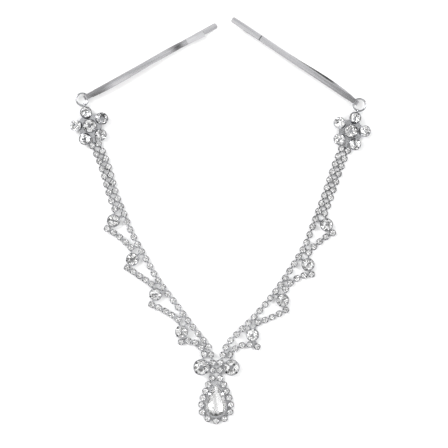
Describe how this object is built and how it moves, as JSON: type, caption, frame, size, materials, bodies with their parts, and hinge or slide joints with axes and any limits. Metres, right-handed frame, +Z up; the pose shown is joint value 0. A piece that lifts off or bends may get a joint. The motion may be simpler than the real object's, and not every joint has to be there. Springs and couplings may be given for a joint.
{
  "type": "rhinestone hair drape on two hair grips",
  "caption": "Hair drape of claw-set rhinestone chain with flowers, swags, a bow and a pear pendant, hung from sprung hair grips.",
  "frame": {"origin": "on the table, under the middle of the outline of the whole drape lying flat", "axes": "+Z up out of the stones, +Y from the pendant towards the grips, +X to the right"},
  "size_m": [0.1065, 0.1441, 0.0037],
  "materials": {
    "plated_brass": "bright rhodium-coloured plating on stamped brass cups",
    "plated_wire": "bright plated brass wire",
    "sprung_steel_plated": "bright plated spring steel strip",
    "crystal": "clear faceted glass with a silver foil back",
    "pear_crystal": "clear faceted pear glass with a silver foil back"
  },
  "bodies": {
    "bow": {"bow_small_cups": "plated_brass", "bow_large_cups": "plated_brass", "bow_stones": "crystal"},
    "pendant": {"pendant_frame_cups": "plated_brass", "pendant_frame_stones": "crystal", "pear_setting": "plated_brass", "pear_stone": "pear_crystal"},
    "left_panel_1": {"left_panel_1_cups": "plated_brass", "left_panel_1_chaton": "plated_brass", "left_panel_1_stones": "crystal"},
    "left_panel_2": {"left_panel_2_cups": "plated_brass", "left_panel_2_chaton": "plated_brass", "left_panel_2_stones": "crystal"},
    "left_panel_3": {"left_panel_3_cups": "plated_brass", "left_panel_3_chaton": "plated_brass", "left_panel_3_stones": "crystal"},
    "left_panel_4": {"left_panel_4_cups": "plated_brass", "left_panel_4_chaton": "plated_brass", "left_panel_4_stones": "crystal"},
    "left_strand_a": {"left_strand_a_cups": "plated_brass", "left_strand_a_stones": "crystal"},
    "left_strand_b": {"left_strand_b_cups": "plated_brass", "left_strand_b_stones": "crystal"},
    "left_strand_c": {"left_strand_c_cups": "plated_brass", "left_strand_c_stones": "crystal"},
    "left_flower": {"left_flower_base": "plated_brass", "left_flower_cups": "plated_brass", "left_flower_stones": "crystal"},
    "left_ring": {"left_jump_ring": "plated_wire"},
    "left_grip": {"left_grip_long_prong": "sprung_steel_plated"},
    "left_prong": {"left_grip_short_prong": "sprung_steel_plated"},
    "right_panel_1": {"right_panel_1_cups": "plated_brass", "right_panel_1_chaton": "plated_brass", "right_panel_1_stones": "crystal"},
    "right_panel_2": {"right_panel_2_cups": "plated_brass", "right_panel_2_chaton": "plated_brass", "right_panel_2_stones": "crystal"},
    "right_panel_3": {"right_panel_3_cups": "plated_brass", "right_panel_3_chaton": "plated_brass", "right_panel_3_stones": "crystal"},
    "right_panel_4": {"right_panel_4_cups": "plated_brass", "right_panel_4_chaton": "plated_brass", "right_panel_4_stones": "crystal"},
    "right_strand_a": {"right_strand_a_cups": "plated_brass", "right_strand_a_stones": "crystal"},
    "right_strand_b": {"right_strand_b_cups": "plated_brass", "right_strand_b_stones": "crystal"},
    "right_strand_c": {"right_strand_c_cups": "plated_brass", "right_strand_c_stones": "crystal"},
    "right_flower": {"right_flower_base": "plated_brass", "right_flower_cups": "plated_brass", "right_flower_stones": "crystal"},
    "right_ring": {"right_jump_ring": "plated_wire"},
    "right_grip": {"right_grip_long_prong": "sprung_steel_plated"},
    "right_prong": {"right_grip_short_prong": "sprung_steel_plated"}
  },
  "joints": [
    {"name": "pendant_hinge", "type": "hinge", "parent": "bow", "child": "pendant", "pos_m": [-0.00146, -0.0544, 0.00045], "axis": [-1, 0, 0], "range_deg": [-20, 20]},
    {"name": "left_bow_hinge", "type": "hinge", "parent": "bow", "child": "left_panel_4", "pos_m": [-0.00301, -0.0489, 0.00045], "axis": [0.9989, -0.0469, 0], "range_deg": [-15, 15]},
    {"name": "left_panel_4_top_hinge", "type": "hinge", "parent": "left_panel_4", "child": "left_panel_3", "pos_m": [-0.01236, -0.0342, 0.00045], "axis": [0.6781, 0.735, 0], "range_deg": [-15, 15]},
    {"name": "left_panel_3_top_hinge", "type": "hinge", "parent": "left_panel_3", "child": "left_panel_2", "pos_m": [-0.02119, -0.0224, 0.00045], "axis": [0.8917, 0.4526, 0], "range_deg": [-15, 15]},
    {"name": "left_panel_2_top_hinge", "type": "hinge", "parent": "left_panel_2", "child": "left_panel_1", "pos_m": [-0.02858, -0.00966, 0.00045], "axis": [0.9007, 0.4345, 0], "range_deg": [-15, 15]},
    {"name": "left_panel_1_top_hinge", "type": "hinge", "parent": "left_panel_1", "child": "left_strand_c", "pos_m": [-0.03468, 0.00374, 0.00045], "axis": [0.9459, 0.3244, 0], "range_deg": [-15, 15]},
    {"name": "left_strand_b_hinge", "type": "hinge", "parent": "left_strand_c", "child": "left_strand_b", "pos_m": [-0.03683, 0.00922, 0.00045], "axis": [0.9499, 0.3125, 0], "range_deg": [-15, 15]},
    {"name": "left_strand_a_hinge", "type": "hinge", "parent": "left_strand_b", "child": "left_strand_a", "pos_m": [-0.03924, 0.01773, 0.00045], "axis": [0.9601, 0.2798, 0], "range_deg": [-15, 15]},
    {"name": "left_flower_hinge", "type": "hinge", "parent": "left_strand_a", "child": "left_flower", "pos_m": [-0.04248, 0.02594, 0.00045], "axis": [0.8784, 0.4778, 0], "range_deg": [-15, 15]},
    {"name": "left_ring_turn", "type": "hinge", "parent": "left_flower", "child": "left_ring", "pos_m": [-0.0489, 0.04301, 0.0012], "axis": [0, 0, 1], "range_deg": [-35, 35]},
    {"name": "left_grip_swing", "type": "hinge", "parent": "left_ring", "child": "left_grip", "pos_m": [-0.047, 0.04406, 0.0012], "axis": [-0.4848, 0.8746, 0], "range_deg": [-45, 45]},
    {"name": "left_grip_spring", "type": "hinge", "parent": "left_grip", "child": "left_prong", "pos_m": [-0.04621, 0.0445, 0.00213], "axis": [0.4848, -0.8746, 0], "range_deg": [0, 10], "stiffness_Nm_per_rad": 0.04, "springref_deg": -11.46},
    {"name": "right_bow_hinge", "type": "hinge", "parent": "bow", "child": "right_panel_4", "pos_m": [0.00036, -0.04897, 0.00045], "axis": [0.9996, 0.0274, 0], "range_deg": [-15, 15]},
    {"name": "right_panel_4_top_hinge", "type": "hinge", "parent": "right_panel_4", "child": "right_panel_3", "pos_m": [0.01099, -0.03519, 0.00045], "axis": [0.54, -0.8417, 0], "range_deg": [-15, 15]},
    {"name": "right_panel_3_top_hinge", "type": "hinge", "parent": "right_panel_3", "child": "right_panel_2", "pos_m": [0.02047, -0.02389, 0.00045], "axis": [0.7978, -0.6029, 0], "range_deg": [-15, 15]},
    {"name": "right_panel_2_top_hinge", "type": "hinge", "parent": "right_panel_2", "child": "right_panel_1", "pos_m": [0.02853, -0.01154, 0.00045], "axis": [0.8991, -0.4377, 0], "range_deg": [-15, 15]},
    {"name": "right_panel_1_top_hinge", "type": "hinge", "parent": "right_panel_1", "child": "right_strand_c", "pos_m": [0.0343, 0.00202, 0.00045], "axis": [0.9596, -0.2814, 0], "range_deg": [-15, 15]},
    {"name": "right_strand_b_hinge", "type": "hinge", "parent": "right_strand_c", "child": "right_strand_b", "pos_m": [0.03639, 0.00754, 0.00045], "axis": [0.9406, -0.3395, 0], "range_deg": [-15, 15]},
    {"name": "right_strand_a_hinge", "type": "hinge", "parent": "right_strand_b", "child": "right_strand_a", "pos_m": [0.03922, 0.01592, 0.00045], "axis": [0.9481, -0.3181, 0], "range_deg": [-15, 15]},
    {"name": "right_flower_hinge", "type": "hinge", "parent": "right_strand_a", "child": "right_flower", "pos_m": [0.04236, 0.0242, 0.00045], "axis": [0.9158, -0.4017, 0], "range_deg": [-15, 15]},
    {"name": "right_ring_turn", "type": "hinge", "parent": "right_flower", "child": "right_ring", "pos_m": [0.04933, 0.04107, 0.0012], "axis": [0, 0, 1], "range_deg": [-35, 35]},
    {"name": "right_grip_swing", "type": "hinge", "parent": "right_ring", "child": "right_grip", "pos_m": [0.04753, 0.04228, 0.0012], "axis": [-0.5577, -0.83, 0], "range_deg": [-45, 45]},
    {"name": "right_grip_spring", "type": "hinge", "parent": "right_grip", "child": "right_prong", "pos_m": [0.04678, 0.04278, 0.00028], "axis": [-0.5577, -0.83, 0], "range_deg": [0, 10], "stiffness_Nm_per_rad": 0.04, "springref_deg": -11.46}
  ]
}
